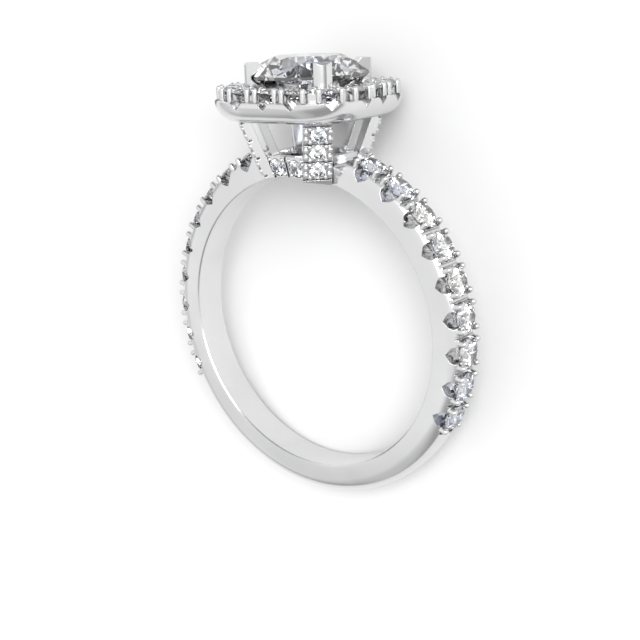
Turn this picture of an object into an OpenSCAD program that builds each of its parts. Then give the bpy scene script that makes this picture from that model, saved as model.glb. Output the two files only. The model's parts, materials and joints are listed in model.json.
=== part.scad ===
// A cushion halo ring: a pavé-set band, a four-claw basket on a square collar, and a halo round
// one large brilliant. Millimetres. The ring is drawn upright about the centre of the finger hole
// (finger axis Y, head up), and is then laid on its side, as a loose ring rests on a table.

/* [Finger] */
// Inside diameter of the finger hole
finger_d = 16.9; // [15.5:0.1:20]

/* [Band] */
// Width of the band along the finger
band_w = 2.1; // [2:0.05:2.6]
// Thickness of the plain band at its middle
band_t = 1.75; // [1.65:0.05:2.1]
// Radius that rounds the outside of the plain band
band_round_r = 0.9; // [0.5:0.05:0.95]
// Small bevel along both edges of the finger hole
comfort_bevel = 0.07; // [0.04:0.01:0.12]
// Height of the flat side faces above the finger hole
side_h = 1; // [0.9:0.05:1.05]

/* [Shoulder stones] */
// Diameter of each shoulder stone
shoulder_stone_d = 1.7; // [1.5:0.05:1.75]
// Stones in each shoulder row
shoulder_count = 9; // [6:1:9]
// Angle from the head to the first stone
first_stone_angle = 24.7; // [24:0.1:28]
// Distance between stones, along the girdles
shoulder_pitch = 1.95; // [1.93:0.01:2.05]
// Height of the girdles above the finger hole
shoulder_girdle_h = 1.6; // [1.5:0.05:1.75]
// Radius of each small claw along the band
shoulder_claw_r = 0.18; // [0.15:0.01:0.19]
// Distance from a stone's middle to its claws, along the band
shoulder_claw_along = 0.66; // [0.62:0.01:0.67]
// Distance from a stone's middle to its claws, across the band
shoulder_claw_across = 0.67; // [0.62:0.01:0.7]

/* [Halo] */
// Diameter of each halo stone
halo_stone_d = 1.4; // [1.2:0.05:1.45]
// Stones on each of the halo's four sides, counting one corner
halo_per_side = 4; // [3:1:4]
// Distance of the stone row outside the large stone's girdle
halo_row_gap = 0.45; // [0.35:0.05:0.7]
// Corner radius of the cushion, along the stone row
halo_corner_r = 2.35; // [2:0.05:2.6]
// Wall from the stone row to the outside
halo_wall = 0.9; // [0.85:0.05:1]
// Height of the halo's metal at the stones' girdles
halo_h = 1.6; // [1.5:0.05:1.9]
// Height of the halo's outer wall, which the small claws stand on
halo_wall_h = 1.15; // [1.15:0.05:1.3]
// Radius that rounds the halo's lower edge
halo_belly_r = 1.1; // [0.8:0.05:1.1]
// Turn of the halo and the large stone on the basket, seen from above
head_turn = 6.5; // [0:0.5:8]
// Radius of each small claw on the halo's outside
halo_claw_r = 0.15; // [0.13:0.01:0.16]
// Radius of each small claw on the halo's inside
halo_inner_claw_r = 0.2; // [0.18:0.01:0.22]

/* [Large stone] */
// Diameter of the large stone
centre_d = 6.5; // [6:0.1:7]
// Height of its girdle above the halo's metal
centre_rise = 0.65; // [0.55:0.05:0.8]
// Width of each large claw
claw_w = 1; // [0.8:0.05:1.1]
// Thickness of each large claw outside the girdle
claw_t = 0.27; // [0.2:0.01:0.28]
// Height of the claw tips above the girdle
claw_tip_h = 0.8; // [0.65:0.05:1]
// How far the claw tips reach in over the girdle
claw_reach = 0.6; // [0.4:0.05:0.65]

/* [Basket] */
// Height of the collar above the finger hole
collar_h = 1.25; // [1.15:0.05:1.4]
// Half of the collar's side, at its top
collar_half = 2.3; // [2.2:0.05:2.4]
// Wall of the collar
collar_wall = 0.5; // [0.45:0.05:0.6]
// Height of the thin rails over the band
rail_h = 0.3; // [0.25:0.05:0.35]
// Height of the open basket, from the collar to the halo
basket_h = 1.9; // [1.8:0.1:2.4]
// Width of each leg
leg_w = 1.57; // [1.4:0.05:1.7]
// Thickness of each leg's set strip
leg_t = 0.55; // [0.5:0.05:0.65]
// Diameter of the stones in the legs
leg_stone_d = 0.93; // [0.8:0.01:0.94]
// Distance between the stones down a leg
leg_pitch = 1.04; // [1.04:0.01:1.08]
// Diameter of the stones in the collar
collar_stone_d = 1.1; // [0.9:0.05:1.15]
// Distance from the collar's middle to each of its two stones
collar_stone_x = 0.66; // [0.64:0.01:0.7]

/* [Fit] */
// Gap left all round each stone in its seat
seat_gap = 0.015; // [0.01:0.005:0.03]
// How far the small stones of the legs and collar sit below the surface
leg_stone_sink = 0.05; // [0.02:0.01:0.08]
// Width of the fine cuts between the stones of the legs and collar
groove_w = 0.12; // [0.1:0.01:0.14]

/* [Hidden] */
bore_r = finger_d / 2;
band_outer_r = bore_r + band_t;
side_r = bore_r + side_h;

// Proportions of a round brilliant, as shares of its diameter
TABLE = 0.57;
CROWN = 0.148;
GIRDLE = 0.024;
PAVILION = 0.43;
// Star and upper-half facets meet this far from the table's edge to the girdle
STAR_REACH = 0.52;
// Lower halves run this share of the way from the girdle to the point
LOWER_HALF = 0.76;

// Angular step of the shoulder stones
girdle_r = bore_r + shoulder_girdle_h;
pitch_angle = shoulder_pitch / girdle_r * 180 / PI;
last_stone_angle = first_stone_angle + (shoulder_count - 1) * pitch_angle;
// The raised shoulder runs half a step past its first and last stones
rise_start = first_stone_angle - pitch_angle * 0.62;
rise_end = last_stone_angle + pitch_angle * 0.5;
rise_top_r = girdle_r - 0.1;
// Notch under each stone: a full V with upright sides above it
notch_tip_r = girdle_r - 0.78;
notch_bulge_r = girdle_r - 0.5;
notch_knee_r = girdle_r - 0.33;
notch_half_w = shoulder_claw_along - shoulder_claw_r - 0.02;
notch_bulge_w = 0.78 * notch_half_w;
notch_top_r = band_outer_r + 1;
shoulder_claw_h = 0.31;
// How far a shoulder claw reaches down into the band under the girdles
shoulder_claw_root = 0.5;
// Split between the claws of two neighbouring stones, parallel to the claws
split_tip_r = girdle_r - 0.25;
split_gap = 0.02;

// Heights in the head, above the centre of the finger hole
collar_top_z = bore_r + collar_h;
halo_z = collar_top_z + basket_h;
halo_top_z = halo_z + halo_h;
centre_z = halo_top_z + centre_rise;
claw_top_z = centre_z + claw_tip_h;
halo_row = centre_d / 2 + halo_row_gap;
halo_flat = halo_row - halo_corner_r;
halo_inner = -0.85;
halo_side_len = 2 * halo_flat + halo_corner_r * PI / 2;
halo_notch_half_w = 0.43;
halo_notch_knee = halo_h - halo_wall_h;
halo_notch_tip = halo_notch_knee + 0.4;
// The wall steps up to the stones' height this far outside the stone row
halo_step = 0.3;
halo_claw_out = 0.58;
halo_claw_in = 0.38;
halo_claw_along = 0.6;
halo_claw_h = 0.27;
// How far a small claw reaches down into the metal under it
halo_claw_root = 0.3;
halo_lean = 0.08;

// The legs lean out from the collar's corners to the halo's corners
diagonal = sqrt(2);
leg_foot_inset = 0.12;
leg_foot_r = collar_half * diagonal - leg_foot_inset;
leg_head_inset = 0.4;
leg_head_r = halo_flat * diagonal + halo_corner_r - leg_head_inset;
leg_slope = (leg_head_r - leg_foot_r) / basket_h;
leg_lean = atan(leg_slope);
leg_bottom_z = bore_r - 0.25;
collar_bottom_z = bore_r - 0.35;
// How far the legs reach up into the halo
leg_root = 0.3;
leg_first_drop = 0.66;
collar_stone_z = (bore_r + collar_top_z) / 2 + 0.02;
groove_depth = 0.18;
inner_gap = 0.17;
prong_t = 0.45;
prong_foot_r = leg_foot_r - leg_t - inner_gap - 0.15;
// How deep the prongs' feet stand in the collar's rails
prong_root = 0.1;
claw_out = centre_d / 2 + claw_t;
claw_in = centre_d / 2 - claw_reach;
// The prongs lean out up to here, and the claws stand upright from a little lower
claw_bend_z = halo_top_z - 0.3;
claw_root = 0.2;
prong_inset = 0.03;
claw_bevel = 0.15;
claw_tip_bevel = 0.2;
// Radius of a large claw's rounded outside, seen from above
claw_dome_r = 0.75;
collar_fill_margin = 0.05;
// The collar's inner corners are filled this near to the middle, under the whole foot of each prong
collar_fill_r = (prong_foot_r - prong_t) * cos(head_turn) - claw_w / 2 * sin(head_turn)
    - collar_fill_margin;
// The rails' outer corners are cut off this far behind the legs' faces
rail_corner_cut = 0.15;
// The saddle's blocks: width along the finger, depth into the band, and step in from the rails' faces
saddle_w = 0.8 * band_w;
saddle_root = 0.6;
saddle_step = 0.05;
// Hole drilled through the collar's wall behind each stone
drill_r = 0.28;
// The collar's foot stays this far outside the finger hole, and flares to its faces
collar_step = 0.02;
collar_flare = 0.05;

// Laid on its side, the ring touches on the halo's wall and on the band's far edge
belly_c_y = halo_flat * (cos(head_turn) + sin(head_turn)) + halo_corner_r + halo_wall - halo_belly_r;
belly_c_z = halo_z + halo_belly_r;
round_c_y = band_w / 2 - band_round_r;
round_c_r = band_outer_r - band_round_r;
rest_a = belly_c_y - round_c_y;
rest_b = belly_c_z + round_c_r;
rest_angle = acos((band_round_r - halo_belly_r) / norm([rest_a, rest_b])) - atan2(rest_b, rest_a);

CIRCLE = 96;
SMALL = 24;

// Point i of 16 on a circle of radius r at height z
function rim(r, z, i) = [r * cos(22.5 * i), r * sin(22.5 * i), z];

// A round brilliant with its girdle's middle at height 0: table, stars, kites, halves and mains.
// Stars and lower halves end where the kites and mains stay flat.
module brilliant(d) {
    r = d / 2;
    g = d * GIRDLE / 2;
    table_r = r * TABLE;
    table_z = g + d * CROWN;
    star_r = table_r + (r - table_r) * STAR_REACH;
    star_z = table_z - (star_r * cos(22.5) - table_r) * d * CROWN / (r - table_r);
    culet_z = -g - d * PAVILION;
    half_r = r * (1 - LOWER_HALF);
    half_z = culet_z + half_r * cos(22.5) * d * PAVILION / r;
    table = [for (k = [0:7]) rim(table_r, table_z, 2 * k)];
    stars = [for (k = [0:7]) rim(star_r, star_z, 2 * k + 1)];
    upper = [for (i = [0:15]) rim(r, g, i)];
    lower = [for (i = [0:15]) rim(r, -g, i)];
    halves = [for (k = [0:7]) rim(half_r, half_z, 2 * k + 1)];
    // Number of each group's first point: table, stars, upper and lower girdle, lower halves, culet
    T = 0;
    S = T + len(table);
    U = S + len(stars);
    L = U + len(upper);
    H = L + len(lower);
    C = H + len(halves);
    faces = concat(
        [[for (k = [7:-1:0]) T + k]],
        [for (k = [0:7]) [T + k, T + (k + 1) % 8, S + k]],
        [for (k = [0:7]) [T + k, S + k, U + 2 * k, S + (k + 7) % 8]],
        [for (k = [0:7]) [S + k, U + 2 * k + 1, U + 2 * k]],
        [for (k = [0:7]) [S + k, U + (2 * k + 2) % 16, U + 2 * k + 1]],
        [for (i = [0:15]) [U + i, U + (i + 1) % 16, L + (i + 1) % 16, L + i]],
        [for (k = [0:7]) [L + 2 * k, L + 2 * k + 1, H + k]],
        [for (k = [0:7]) [L + 2 * k + 1, L + (2 * k + 2) % 16, H + k]],
        [for (k = [0:7]) [H + k, L + (2 * k + 2) % 16, H + (k + 1) % 8, C]]);
    polyhedron(concat(table, stars, upper, lower, halves, [[0, 0, culet_z]]), faces);
}

// The space that a stone of diameter d needs in its setting, open above it
module seat(d) {
    r = d / 2 + seat_gap;
    g = d * GIRDLE / 2 + seat_gap;
    rotate_extrude($fn = SMALL)
        polygon([[0, -g - d * PAVILION - seat_gap], [r, -g], [r, g],
            [r * TABLE, g + d * CROWN], [r * TABLE, g + d * CROWN + d], [0, g + d * CROWN + d]]);
}

// A small claw: a post with a domed tip, from height low to height high
module claw(r, low, high) {
    translate([0, 0, low]) rotate_extrude($fn = SMALL) intersection() {
        union() {
            square([r, high - low - r]);
            translate([0, high - low - r]) circle(r);
        }
        square([r, high - low]);
    }
}

// Places children at an angle round the band from the head, with Z pointing outward
module round_band(angle) { rotate([0, angle, 0]) children(); }

// Every stone's place in one shoulder row: side is -1 for the left and 1 for the right
module each_shoulder_stone(side) {
    for (i = [0:shoulder_count - 1])
        round_band(side * (first_stone_angle + i * pitch_angle)) children();
}

// Places children on the halo's stone row: side 0 to 3, t along the side from its middle
module on_halo(side, t, out = 0) {
    bend = max(0, abs(t) - halo_flat) / halo_corner_r * 180 / PI;
    s = sign(t);
    y = abs(t) <= halo_flat ? t : s * (halo_flat + halo_corner_r * sin(bend));
    x = halo_flat + halo_corner_r * cos(bend);
    rotate([0, 0, head_turn + 90 * side]) translate([x, y, halo_top_z])
        rotate([0, 0, s * bend]) translate([out, 0, 0]) children();
}

function halo_t(i) = (i / halo_per_side - 0.5) * halo_side_len;

module each_halo_stone() {
    for (side = [0:3], i = [0:halo_per_side - 1]) on_halo(side, halo_t(i)) children();
}

// Places children on the outer face of leg k at height z, with Z pointing out of the face
module on_leg(k, z) {
    rotate([0, 0, 45 + 90 * k])
        translate([leg_foot_r + (z - collar_top_z) * leg_slope, 0, z])
            rotate([0, 90 + leg_lean, 0]) children();
}

function leg_stone_z(i) = halo_z - (leg_first_drop + i * leg_pitch) * cos(leg_lean);

// Places children on the front (-1) or back (1) face of the collar at x and height z
module on_collar(face, x, z) {
    lean = atan(leg_slope / diagonal);
    translate([x, face * (collar_half + (z - collar_top_z) * leg_slope / diagonal), z])
        rotate([-face * (90 + lean), 0, 0]) children();
}

// Section of the band, radius across and width up: flat sides that round into the outside
module band_section() {
    half = band_w / 2;
    polygon([[bore_r, comfort_bevel - half], [bore_r + comfort_bevel, -half], [round_c_r, -half],
        [round_c_r, half], [bore_r + comfort_bevel, half], [bore_r, half - comfort_bevel]]);
    translate([round_c_r, -round_c_y]) square([band_round_r, 2 * round_c_y]);
    for (s = [0, 1]) mirror([0, s]) translate([round_c_r, round_c_y]) intersection() {
        circle(band_round_r, $fn = CIRCLE);
        square(band_round_r);
    }
}

// Everything above a radius, across the whole band
module above(r) { translate([r, -band_w]) square([band_t + 1, 2 * band_w]); }

// Turns children's section from one angle to another, both measured from the head
module arc_of_band(from, to) {
    rotate([90, 0, 0]) rotate([0, 0, 90 - to])
        rotate_extrude(angle = to - from, $fn = 2 * CIRCLE) children();
}

// A V under each stone, with upright sides above it, right across the band
module shoulder_notch() {
    rotate([90, 0, 0]) linear_extrude(2 * band_w, center = true)
        polygon([[0, notch_tip_r], [notch_bulge_w, notch_bulge_r], [notch_half_w, notch_knee_r],
            [notch_half_w, notch_top_r], [-notch_half_w, notch_top_r], [-notch_half_w, notch_knee_r],
            [-notch_bulge_w, notch_bulge_r]]);
}

// Half of the room between two neighbouring stones' claws, at radius r
function split_half(r) = max(0.03, r * tan(pitch_angle / 2)
    - (shoulder_claw_along + shoulder_claw_r) / cos(pitch_angle / 2) - split_gap);

module shoulder_split() {
    low = split_half(split_tip_r);
    high = split_half(notch_top_r);
    rotate([90, 0, 0]) linear_extrude(2 * band_w, center = true)
        polygon([[-low, split_tip_r], [low, split_tip_r], [high, notch_top_r], [-high, notch_top_r]]);
}

// The whole band: lower under the stones, lower still under the head, then claws, notches, splits
// and seats
module shank() {
    difference() {
        union() {
            difference() {
                arc_of_band(0, 360) band_section();
                arc_of_band(-rise_end, rise_end) above(rise_top_r);
                arc_of_band(-rise_start, rise_start) above(side_r);
            }
            for (side = [-1, 1], a = [-1, 1], b = [-1, 1]) each_shoulder_stone(side)
                translate([a * shoulder_claw_along, b * shoulder_claw_across, 0])
                    claw(shoulder_claw_r, girdle_r - shoulder_claw_root, girdle_r + shoulder_claw_h);
        }
        for (side = [-1, 1]) each_shoulder_stone(side) {
            shoulder_notch();
            translate([0, 0, girdle_r]) seat(shoulder_stone_d);
        }
        for (side = [-1, 1], i = [0.5:shoulder_count - 1.5])
            round_band(side * (first_stone_angle + i * pitch_angle)) shoulder_split();
    }
}

// Section of the halo, across the stone row: a flat foot, a round belly, a low outer wall and the
// higher metal between the stones
module halo_section() {
    intersection() {
        translate([halo_wall - halo_belly_r, halo_belly_r]) circle(halo_belly_r, $fn = CIRCLE);
        translate([halo_wall - halo_belly_r, 0]) square([halo_belly_r, halo_belly_r]);
    }
    polygon([[halo_inner, 0], [halo_wall - halo_belly_r, 0], [halo_wall - halo_belly_r, halo_belly_r],
        [halo_wall, halo_belly_r], [halo_wall - halo_lean, halo_wall_h], [halo_step, halo_wall_h],
        [halo_step, halo_h], [halo_inner, halo_h]]);
}

module halo_body() {
    translate([0, 0, halo_z]) for (k = [0:3]) rotate([0, 0, head_turn + 90 * k]) {
        translate([halo_flat, halo_flat, 0]) rotate_extrude(angle = 90, $fn = CIRCLE)
            translate([halo_corner_r, 0]) halo_section();
        rotate([90, 0, 0]) linear_extrude(2 * halo_flat, center = true)
            translate([halo_row, 0]) halo_section();
    }
}

module halo_claws() {
    each_halo_stone() for (a = [-1, 1]) translate([halo_claw_out, a * halo_claw_along, 0])
        claw(halo_claw_r, -halo_notch_knee - halo_claw_root, halo_claw_h);
    for (side = [0:3], i = [0:halo_per_side - 1])
        on_halo(side, halo_t(i + 0.5), -halo_claw_in) claw(halo_inner_claw_r, -halo_claw_root, halo_claw_h);
}

// A V in the halo's wall under a stone, with upright sides above it
module halo_notch() {
    rotate([90, 0, 90]) linear_extrude(2 * halo_wall)
        polygon([[0, -halo_notch_tip], [halo_notch_half_w, -halo_notch_knee], [halo_notch_half_w, 1],
            [-halo_notch_half_w, 1], [-halo_notch_half_w, -halo_notch_knee]]);
}

// Side profile of the prong under a large claw, in radius and height
module prong_profile() {
    foot_z = collar_top_z - prong_root;
    head_r = claw_out - prong_inset;
    polygon([[prong_foot_r - prong_t, foot_z], [prong_foot_r, foot_z], [head_r, claw_bend_z],
        [head_r - prong_t, claw_bend_z]]);
}

// Side profile of a large claw, open to the outside, where the dome ends it
module claw_profile() {
    low_z = claw_bend_z - claw_root;
    clear_r = claw_out + 0.1;
    polygon([[claw_out - prong_t, low_z], [clear_r, low_z],
        [clear_r, claw_top_z - claw_bevel - clear_r + claw_out], [claw_out - claw_bevel, claw_top_z],
        [claw_in + claw_tip_bevel, claw_top_z], [claw_in, claw_top_z - claw_tip_bevel],
        [claw_in, centre_z + 0.1]]);
}

module claws() {
    for (k = [0:3]) rotate([0, 0, head_turn + 45 + 90 * k]) {
        rotate([90, 0, 0]) linear_extrude(claw_w, center = true) prong_profile();
        intersection() {
            rotate([90, 0, 0]) linear_extrude(claw_w, center = true) claw_profile();
            translate([claw_out - claw_dome_r, 0, halo_z])
                cylinder(r = claw_dome_r, h = claw_top_z - halo_z + 1, $fn = CIRCLE);
        }
    }
}

module leg_profile() {
    low = leg_foot_r + (leg_bottom_z - collar_top_z) * leg_slope;
    high_z = halo_z + leg_root;
    high = leg_foot_r + (high_z - collar_top_z) * leg_slope;
    polygon([[low - leg_t, leg_bottom_z], [low, leg_bottom_z], [high, high_z], [high - leg_t, high_z]]);
}

module legs() {
    for (k = [0:3]) rotate([0, 0, 45 + 90 * k]) rotate([90, 0, 0])
        linear_extrude(leg_w, center = true) leg_profile();
}

// The set wall of the collar on one face, leaning as the legs do
module collar_wall_on(face) {
    low = collar_half + (collar_bottom_z - collar_top_z) * leg_slope / diagonal;
    rotate([90, 0, 90]) linear_extrude(2 * (collar_half - collar_wall), center = true)
        polygon([[face * low, collar_bottom_z], [face * collar_half, collar_top_z],
            [face * (collar_half - collar_wall), collar_top_z],
            [face * (low - collar_wall), collar_bottom_z]]);
}

// Square frame at the top of the collar, with filled inner corners that carry the prongs
module rail_frame() {
    translate([0, 0, collar_top_z - rail_h]) linear_extrude(rail_h) difference() {
        intersection() {
            square(2 * collar_half, center = true);
            rotate(45) square(2 * (leg_foot_r - rail_corner_cut), center = true);
        }
        intersection() {
            square(2 * (collar_half - collar_wall), center = true);
            rotate(45) square(2 * collar_fill_r, center = true);
        }
    }
}

// Fine cuts across the legs between their stones, and one down the middle of each collar face
module grooves() {
    for (k = [0:3], i = [-0.5:2.5]) on_leg(k, leg_stone_z(i))
        cube([groove_w, 2 * leg_w, 2 * groove_depth], center = true);
    for (face = [-1, 1]) on_collar(face, 0, collar_stone_z)
        cube([groove_w, 2 * collar_h, 2 * groove_depth], center = true);
}

// Blocks that join the side rails to the band
module saddle() {
    low_z = side_r - saddle_root;
    length = collar_wall - 2 * saddle_step;
    for (s = [-1, 1]) translate([s * (collar_half - collar_wall / 2) - length / 2, -saddle_w / 2, low_z])
        cube([length, saddle_w, collar_top_z - rail_h / 2 - low_z]);
}

// The room that the head leaves for the finger, flared from its middle to the collar's faces
module finger_space() {
    r = bore_r + collar_step;
    for (s = [0, 1]) rotate([90 + 180 * s, 0, 0])
        cylinder(r1 = r, r2 = r + 2 * collar_flare, h = 2 * collar_half);
}

// Halo, claws, legs and collar, cut for the finger hole, the notches, the grooves and the seats
module head() {
    difference() {
        union() {
            halo_body();
            halo_claws();
            claws();
            legs();
            collar_wall_on(-1);
            collar_wall_on(1);
            rail_frame();
            saddle();
        }
        finger_space();
        grooves();
        each_halo_stone() {
            halo_notch();
            seat(halo_stone_d);
        }
        translate([0, 0, centre_z]) seat(centre_d);
        for (k = [0:3], i = [0:2]) on_leg(k, leg_stone_z(i)) translate([0, 0, -leg_stone_sink])
            seat(leg_stone_d);
        for (face = [-1, 1], x = [-1, 1]) on_collar(face, x * collar_stone_x, collar_stone_z)
            translate([0, 0, -leg_stone_sink]) {
                seat(collar_stone_d);
                mirror([0, 0, 1]) cylinder(r = drill_r, h = 2 * collar_wall);
            }
    }
}

module upright_metal() {
    shank();
    head();
}

// Lays the upright ring on its side
module laid() { rotate([rest_angle - 90, 0, 0]) children(); }

module ring_mount() { color("silver") laid() upright_metal(); }

module centre_stone() {
    color("white") laid() rotate([0, 0, head_turn]) translate([0, 0, centre_z]) brilliant(centre_d);
}

module halo_stone(i) {
    color("white") laid() on_halo(floor(i / halo_per_side), halo_t(i % halo_per_side))
        brilliant(halo_stone_d);
}

module shoulder_stone(side, i) {
    color("white") laid() round_band(side * (first_stone_angle + i * pitch_angle))
        translate([0, 0, girdle_r]) brilliant(shoulder_stone_d);
}

module leg_stones(k) {
    color("white") laid() for (i = [0:2]) on_leg(k, leg_stone_z(i))
        translate([0, 0, -leg_stone_sink]) brilliant(leg_stone_d);
}

module collar_stones(face) {
    color("white") laid() for (x = [-1, 1]) on_collar(face, x * collar_stone_x, collar_stone_z)
        translate([0, 0, -leg_stone_sink]) brilliant(collar_stone_d);
}

ring_mount();
centre_stone();
for (i = [1:4 * halo_per_side])
    halo_stone(i - 1);
for (i = [1:shoulder_count]) {
    shoulder_stone(-1, i - 1);
    shoulder_stone(1, i - 1);
}
for (k = [1:4]) leg_stones(k - 1);
collar_stones(-1);  // collar_stones_front
collar_stones(1);  // collar_stones_back
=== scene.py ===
import json
import math

import bmesh
import bpy
from mathutils import Matrix, Vector


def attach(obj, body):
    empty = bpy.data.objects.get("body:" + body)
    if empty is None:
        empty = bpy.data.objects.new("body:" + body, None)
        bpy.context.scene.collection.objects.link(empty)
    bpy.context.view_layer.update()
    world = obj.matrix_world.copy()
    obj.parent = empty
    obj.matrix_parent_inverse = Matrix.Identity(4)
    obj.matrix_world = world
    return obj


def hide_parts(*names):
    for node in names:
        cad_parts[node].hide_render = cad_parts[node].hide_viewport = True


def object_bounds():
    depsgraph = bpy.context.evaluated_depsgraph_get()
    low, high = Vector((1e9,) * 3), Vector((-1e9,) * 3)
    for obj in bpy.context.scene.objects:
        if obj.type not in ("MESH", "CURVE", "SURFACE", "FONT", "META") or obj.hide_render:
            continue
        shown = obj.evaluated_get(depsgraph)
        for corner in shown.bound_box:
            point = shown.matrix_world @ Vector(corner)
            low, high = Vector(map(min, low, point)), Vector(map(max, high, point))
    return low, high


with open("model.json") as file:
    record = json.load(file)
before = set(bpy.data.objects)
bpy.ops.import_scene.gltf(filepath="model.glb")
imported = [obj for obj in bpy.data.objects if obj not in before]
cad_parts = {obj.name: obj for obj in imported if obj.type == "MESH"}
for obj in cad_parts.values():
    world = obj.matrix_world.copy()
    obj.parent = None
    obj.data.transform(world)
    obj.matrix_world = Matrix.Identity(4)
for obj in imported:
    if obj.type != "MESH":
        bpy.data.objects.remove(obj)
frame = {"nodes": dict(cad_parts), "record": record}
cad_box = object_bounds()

# A halo ring of polished white metal, lying on its side on a pale floor. Metres throughout.
MM = 0.001

# The photo's camera, given in the ring's own frame: X right, Y away from the front, Z to the head
CAMERA_AZIMUTH = math.radians(38.64)
CAMERA_ELEVATION = math.radians(16.3)
CAMERA_ROLL = math.radians(-2.0)
CAMERA_DISTANCE = 63.96 * MM
CAMERA_ASIDE = 0.157 * MM
CAMERA_NEAREST = 2 * MM
CAMERA_FARTHEST = 20.0
SENSOR = 36.0
LENS = 62.45

# The studio's soft ceiling and two soft walls, and the dark openings that dim the ceiling behind the
# ring and low at its front: the direction of each, seen from the ring, and its light by the cosine of
# the angle from that direction
CEILING = (Vector((0, 0.7, 1)), [(0.0, 0.42), (0.2, 0.58), (0.29, 0.96), (0.4, 1.0), (1.0, 1.06)])
LEFT_WALL = (Vector((-0.85, -0.5, 0.2)), [(0.86, 0.0), (0.96, 0.35)])
FRONT_WALL = (Vector((-0.35, -0.85, 0.4)), [(0.8, 0.0), (0.95, 0.27)])
BACK_OPENING = (Vector((0, 1, 0.3)), [(0.7, 1.0), (0.93, 0.3)])
FRONT_OPENING = (Vector((-0.58, -0.81, 0.0)), [(0.9, 1.0), (0.985, 0.35)])

# The square soft boxes: name, direction from the ring, distance, width and power in watts
SOFT_BOXES = [
    ("key_light", Vector((0.5, 0.3, 0.8)), 0.55, 0.35, 1.5),
    ("front_light", Vector((0.8, 0.1, 0.7)), 0.5, 0.15, 0.45),
]

# The floor: half its width, its roughness, and its two tints by the level of a noise
FLOOR_HALF = 3.0
FLOOR_ROUGHNESS = 0.6
FLOOR_TINTS = [(0.3, (0.78, 0.78, 0.78)), (0.7, (0.8, 0.8, 0.8))]

# White gold: its two tints by the level of a noise, and the limits of its roughness
METAL_TINTS = [(0.35, (0.70, 0.70, 0.705)), (0.65, (0.74, 0.74, 0.745))]
METAL_SMOOTHEST = 0.12
METAL_ROUGHEST = 0.2
# Its edges are rounded by this much, and its fine grain is this deep, at this strength
EDGE_R = 0.05 * MM
EDGE_SAMPLES = 4
GRAIN_DEPTH = 0.01 * MM
GRAIN_STRENGTH = 0.08
# Shade is painted into cuts and gaps about this wide, darkening the metal's colour where less light
# reaches: tints by openness
PAINTED_SHADE_REACH = 0.14 * MM
PAINTED_SHADE_SAMPLES = 8
PAINTED_SHADE_TINTS = [(0.3, (0.12, 0.12, 0.13)), (0.8, (1.0, 1.0, 1.0))]

# Diamond: its warm and clear tints, and a cool blue tint painted in for the bluish fire of dispersed
# light, by the level of a noise, and its refraction
DIAMOND_TINTS_AND_PAINTED_FIRE = [(0.3, (1.0, 0.99, 0.96)), (0.5, (1.0, 1.0, 1.0)), (0.68, (0.74, 0.79, 1.0))]
DIAMOND_IOR = 2.42

# How fine each noise is, in cells a metre
FLOOR_CELLS = 3
METAL_CELLS = 260
DIAMOND_CELLS = 420
POLISH_CELLS = 900
GRAIN_CELLS = 3500

# Beads between the small stones of the legs and the collar, raised above the stones' girdles
BEAD_R = 0.13 * MM
BEAD_ASIDE = 0.42 * MM
BEAD_OUT = 0.06 * MM
BEAD_SIDES = 16
BEAD_RINGS = 10
# How far apart a stone's beads are along a leg, as a share of the stones' pitch
BEAD_NEAR = 0.72
# Larger beads along both edges of a leg, two on each side of a stone
EDGE_BEAD_R = 0.15 * MM
EDGE_BEAD_ASIDE = 0.63 * MM
EDGE_BEAD_NEAR = 0.4

# Corners closer than this are one corner, and edges sharper than this stay sharp
WELD = 0.0005 * MM
SHARP = math.radians(28)
# Heights of a cut stone's parts, as shares of its diameter, and of its girdle's middle above its
# point, as a share of its whole height
CROWN = 0.148
GIRDLE = 0.024
PAVILION = 0.43
GIRDLE_SHARE = (PAVILION + GIRDLE / 2) / (PAVILION + GIRDLE + CROWN)


def ring_frame():
    """The turn from the ring's own frame to the row's, taken from the finger hole's axis."""
    mount = next(m for m in frame["record"]["mounts"] if m["name"] == "finger_bore")
    front = Vector(mount["axis"]).normalized()
    up = Vector((0, front.z, -front.y))
    return Matrix((Vector((1, 0, 0)), -front, up)).transposed()


RING = ring_frame()
ACROSS = Vector((1, 0, 0))
HEAD_UP = RING @ Vector((0, 0, 1))


def make_camera():
    """The photo's camera, turned with the ring."""
    ca, sa = math.cos(CAMERA_AZIMUTH), math.sin(CAMERA_AZIMUTH)
    ce, se = math.cos(CAMERA_ELEVATION), math.sin(CAMERA_ELEVATION)
    back = Vector((sa * ce, -ca * ce, se))
    level = Vector((ca, sa, 0))
    upright = back.cross(level)
    right = math.cos(CAMERA_ROLL) * level + math.sin(CAMERA_ROLL) * upright
    up = math.cos(CAMERA_ROLL) * upright - math.sin(CAMERA_ROLL) * level
    turn = RING @ Matrix((right, up, back)).transposed()
    place = RING @ (right * CAMERA_ASIDE + back * CAMERA_DISTANCE)
    data = bpy.data.cameras.new("camera")
    data.sensor_width = SENSOR
    data.lens = LENS
    data.clip_start = CAMERA_NEAREST
    data.clip_end = CAMERA_FARTHEST
    camera = bpy.data.objects.new("camera", data)
    camera.matrix_world = Matrix.Translation(place) @ turn.to_4x4()
    bpy.context.collection.objects.link(camera)
    bpy.context.scene.camera = camera


def new_material(name):
    """An empty node material, its tree and its Principled shader."""
    material = bpy.data.materials.new(name)
    material.use_nodes = True
    tree = material.node_tree
    shader = next(n for n in tree.nodes if n.type == "BSDF_PRINCIPLED")
    return material, tree, shader


def ramp_of(tree, factor, stops):
    """A colour ramp fed by factor, with (position, colour) stops."""
    ramp = tree.nodes.new("ShaderNodeValToRGB")
    elements = ramp.color_ramp.elements
    while len(elements) < len(stops):
        elements.new(0.5)
    for element, (position, colour) in zip(elements, stops):
        element.position = position
        element.color = (*colour, 1)
    tree.links.new(factor, ramp.inputs["Fac"])
    return ramp.outputs["Color"]


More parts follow.
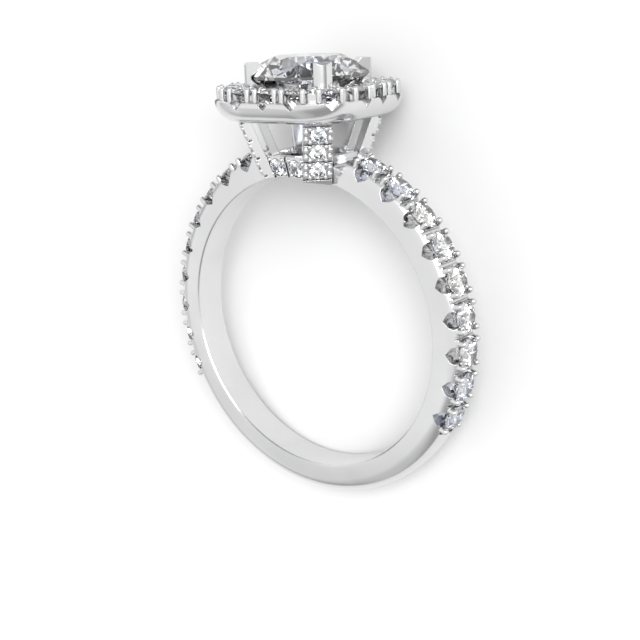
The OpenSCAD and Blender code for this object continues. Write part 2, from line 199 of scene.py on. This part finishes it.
def combined(tree, operation, first, second):
    """Two colours added or multiplied channel by channel."""
    node = tree.nodes.new("ShaderNodeVectorMath")
    node.operation = operation
    tree.links.new(first, node.inputs[0])
    tree.links.new(second, node.inputs[1])
    return node.outputs["Vector"]


def noise_of(tree, cells, detail=2.0):
    """Noise over the object's own coordinates, with so many cells a metre."""
    place = tree.nodes.new("ShaderNodeTexCoord")
    noise = tree.nodes.new("ShaderNodeTexNoise")
    noise.inputs["Scale"].default_value = cells
    noise.inputs["Detail"].default_value = detail
    tree.links.new(place.outputs["Object"], noise.inputs["Vector"])
    return noise.outputs["Fac"]


def tint_and_shade_metal(tree, shader):
    """Colours the metal, with shade painted into its narrow cuts."""
    tint = ramp_of(tree, noise_of(tree, METAL_CELLS), METAL_TINTS)
    # Painted shade: occlusion darkens the base colour in narrow cuts and gaps
    occlusion = tree.nodes.new("ShaderNodeAmbientOcclusion")
    occlusion.samples = PAINTED_SHADE_SAMPLES
    occlusion.only_local = True
    occlusion.inputs["Distance"].default_value = PAINTED_SHADE_REACH
    shade = ramp_of(tree, occlusion.outputs["AO"], PAINTED_SHADE_TINTS)
    tree.links.new(combined(tree, "MULTIPLY", tint, shade), shader.inputs["Base Color"])


def polish_metal(tree, shader):
    """Varies the metal's polish."""
    polish = tree.nodes.new("ShaderNodeMapRange")
    polish.inputs["To Min"].default_value = METAL_SMOOTHEST
    polish.inputs["To Max"].default_value = METAL_ROUGHEST
    tree.links.new(noise_of(tree, POLISH_CELLS, detail=4.0), polish.inputs["Value"])
    tree.links.new(polish.outputs["Result"], shader.inputs["Roughness"])


def soften_metal(tree, shader):
    """Rounds the metal's edges a little and gives it a fine grain."""
    bevel = tree.nodes.new("ShaderNodeBevel")
    bevel.samples = EDGE_SAMPLES
    bevel.inputs["Radius"].default_value = EDGE_R
    bump = tree.nodes.new("ShaderNodeBump")
    bump.inputs["Strength"].default_value = GRAIN_STRENGTH
    bump.inputs["Distance"].default_value = GRAIN_DEPTH
    tree.links.new(noise_of(tree, GRAIN_CELLS, detail=3.0), bump.inputs["Height"])
    tree.links.new(bevel.outputs["Normal"], bump.inputs["Normal"])
    tree.links.new(bump.outputs["Normal"], shader.inputs["Normal"])


def metal_material():
    """Polished white gold, faintly cloudy in its colour and polish, with shade painted into its cuts."""
    material, tree, shader = new_material("white_gold")
    shader.inputs["Metallic"].default_value = 1.0
    tint_and_shade_metal(tree, shader)
    polish_metal(tree, shader)
    soften_metal(tree, shader)
    return material


def diamond_material():
    """Clear stone whose faint tint drifts from stone to stone, its cool blue tint painted in for bluish
    fire.
    """
    material, tree, shader = new_material("diamond")
    # The warm and clear tints are the stone's own; the cool blue tint is painted bluish fire
    tint = ramp_of(tree, noise_of(tree, DIAMOND_CELLS), DIAMOND_TINTS_AND_PAINTED_FIRE)
    tree.links.new(tint, shader.inputs["Base Color"])
    shader.inputs["Roughness"].default_value = 0.0
    shader.inputs["IOR"].default_value = DIAMOND_IOR
    shader.inputs["Transmission Weight"].default_value = 1.0
    return material


def dress(node, material):
    """Gives a CAD node its material."""
    for slot in frame["nodes"][node].material_slots:
        slot.material = material


def welded(node):
    """A CAD node's mesh with the corners that its faces share joined up."""
    shape = bmesh.new()
    shape.from_mesh(frame["nodes"][node].data)
    bmesh.ops.remove_doubles(shape, verts=shape.verts, dist=WELD)
    return shape


def add_piece(name, shape, material):
    """Makes a piece of the ring from a bmesh, which it uses up."""
    mesh = bpy.data.meshes.new(name)
    shape.to_mesh(mesh)
    shape.free()
    if "custom_normal" in mesh.attributes:
        mesh.attributes.remove(mesh.attributes["custom_normal"])
    mesh.materials.clear()
    mesh.materials.append(material)
    piece = bpy.data.objects.new(name, mesh)
    bpy.context.collection.objects.link(piece)
    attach(piece, "root")
    return piece


def make_metal(material):
    """The mount's own shape, shaded as one polished surface that breaks only at real edges."""
    shape = welded("ring_mount")
    for face in shape.faces:
        face.smooth = True
        face.material_index = 0
    for edge in shape.edges:
        edge.smooth = len(edge.link_faces) == 2 and edge.calc_face_angle(0) < SHARP
    piece = add_piece("polished_mount", shape, material)
    even = piece.modifiers.new("even_shading", "WEIGHTED_NORMAL")
    even.keep_sharp = True
    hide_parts("ring_mount")


def solids_of(shape):
    """The vertices of each separate solid in a bmesh."""
    left = set(shape.verts)
    while left:
        solid, fringe = set(), [left.pop()]
        while fringe:
            vert = fringe.pop()
            solid.add(vert)
            near = {edge.other_vert(vert) for edge in vert.link_edges} & left
            left -= near
            fringe.extend(near)
        yield solid


def table_direction(solid):
    """Which way a cut stone's largest facet, its table, looks."""
    areas = {}
    for face in {face for vert in solid for face in vert.link_faces}:
        direction = tuple(round(c, 2) for c in face.normal)
        areas[direction] = areas.get(direction, 0) + face.calc_area()
    return Vector(max(areas, key=areas.get)).normalized()


def stones_of(node):
    """(girdle's middle, axis) of every stone in a node, found from its mesh."""
    shape = welded(node)
    stones = []
    for solid in solids_of(shape):
        axis = table_direction(solid)
        heights = [vert.co.dot(axis) for vert in solid]
        point = min((vert.co for vert in solid), key=lambda place: place.dot(axis))
        stones.append((point + axis * (GIRDLE_SHARE * (max(heights) - min(heights))), axis))
    shape.free()
    return stones


def bead_places(node, direction):
    """(middle of a stone's beads, step to the next stone, axis across the row) along a row of stones."""
    stones = sorted(stones_of(node), key=lambda stone: -stone[0].dot(direction))
    axis = stones[0][1]
    step = stones[1][0] - stones[0][0]
    across = axis.cross(step).normalized()
    return [(girdle + axis * BEAD_OUT, step, across) for girdle, _ in stones]


def add_beads(shape, middle, along, aside, radius):
    """Four beads, as far from middle as along and aside say, to both sides."""
    for end in (-1, 1):
        for side in (-1, 1):
            place = middle + along * end + aside * side
            bmesh.ops.create_uvsphere(shape, u_segments=BEAD_SIDES, v_segments=BEAD_RINGS, radius=radius,
                                      matrix=Matrix.Translation(place))


def make_beads(material):
    """Beads of metal raised beside the small stones of the legs and the collar."""
    shape = bmesh.new()
    for k in range(1, 5):
        for middle, step, across in bead_places(f"leg_stones_{k}", HEAD_UP):
            add_beads(shape, middle, step / 2 * BEAD_NEAR, across * BEAD_ASIDE, BEAD_R)
            add_beads(shape, middle, step / 2 * EDGE_BEAD_NEAR, across * EDGE_BEAD_ASIDE, EDGE_BEAD_R)
    for face in ("front", "back"):
        for middle, step, across in bead_places(f"collar_stones_{face}", ACROSS):
            add_beads(shape, middle, step.normalized() * BEAD_ASIDE, across * BEAD_ASIDE, BEAD_R)
    for face in shape.faces:
        face.smooth = True
    add_piece("beads", shape, material)


def make_floor():
    """A wide pale floor that the ring lies on."""
    material, tree, shader = new_material("pale_floor")
    tint = ramp_of(tree, noise_of(tree, FLOOR_CELLS), FLOOR_TINTS)
    tree.links.new(tint, shader.inputs["Base Color"])
    shader.inputs["Roughness"].default_value = FLOOR_ROUGHNESS
    low = cad_box[0][2]
    turns = ((-1, -1), (1, -1), (1, 1), (-1, 1))
    corners = [(x * FLOOR_HALF, y * FLOOR_HALF, low) for x, y in turns]
    mesh = bpy.data.meshes.new("floor")
    mesh.from_pydata(corners, [], [(0, 1, 2, 3)])
    mesh.materials.append(material)
    floor = bpy.data.objects.new("floor", mesh)
    bpy.context.collection.objects.link(floor)


def add_soft_box(name, direction, distance, width, power):
    """A square light that faces the ring from the given direction."""
    data = bpy.data.lights.new(name, "AREA")
    data.shape = "SQUARE"
    data.size = width
    data.energy = power
    light = bpy.data.objects.new(name, data)
    away = direction.normalized()
    turn = away.to_track_quat("Z", "Y").to_matrix().to_4x4()
    light.matrix_world = Matrix.Translation(away * distance) @ turn
    bpy.context.collection.objects.link(light)


def light_round(tree, direction, middle, stops):
    """Light that changes with the angle between direction and middle, by (cosine, level) stops."""
    facing = tree.nodes.new("ShaderNodeVectorMath")
    facing.operation = "DOT_PRODUCT"
    facing.inputs[1].default_value = middle.normalized()
    tree.links.new(direction, facing.inputs[0])
    return ramp_of(tree, facing.outputs["Value"], [(cosine, (level,) * 3) for cosine, level in stops])


def make_studio():
    """The light all round the ring, and the soft boxes."""
    world = bpy.data.worlds.new("studio")
    world.use_nodes = True
    tree = world.node_tree
    background = next(n for n in tree.nodes if n.type == "BACKGROUND")
    direction = tree.nodes.new("ShaderNodeTexCoord").outputs["Generated"]
    light = light_round(tree, direction, *CEILING)
    for opening in (BACK_OPENING, FRONT_OPENING):
        light = combined(tree, "MULTIPLY", light, light_round(tree, direction, *opening))
    for wall in (LEFT_WALL, FRONT_WALL):
        light = combined(tree, "ADD", light, light_round(tree, direction, *wall))
    tree.links.new(light, background.inputs["Color"])
    bpy.context.scene.world = world
    bpy.context.scene.view_settings.view_transform = "Standard"
    for box in SOFT_BOXES:
        add_soft_box(*box)


make_camera()
make_floor()
make_studio()
metal = metal_material()
diamond = diamond_material()
make_metal(metal)
make_beads(metal)
for subpart in frame["record"]["subparts"]:
    dress(subpart["node"], metal if subpart["material_slot"] == "metal" else diamond)
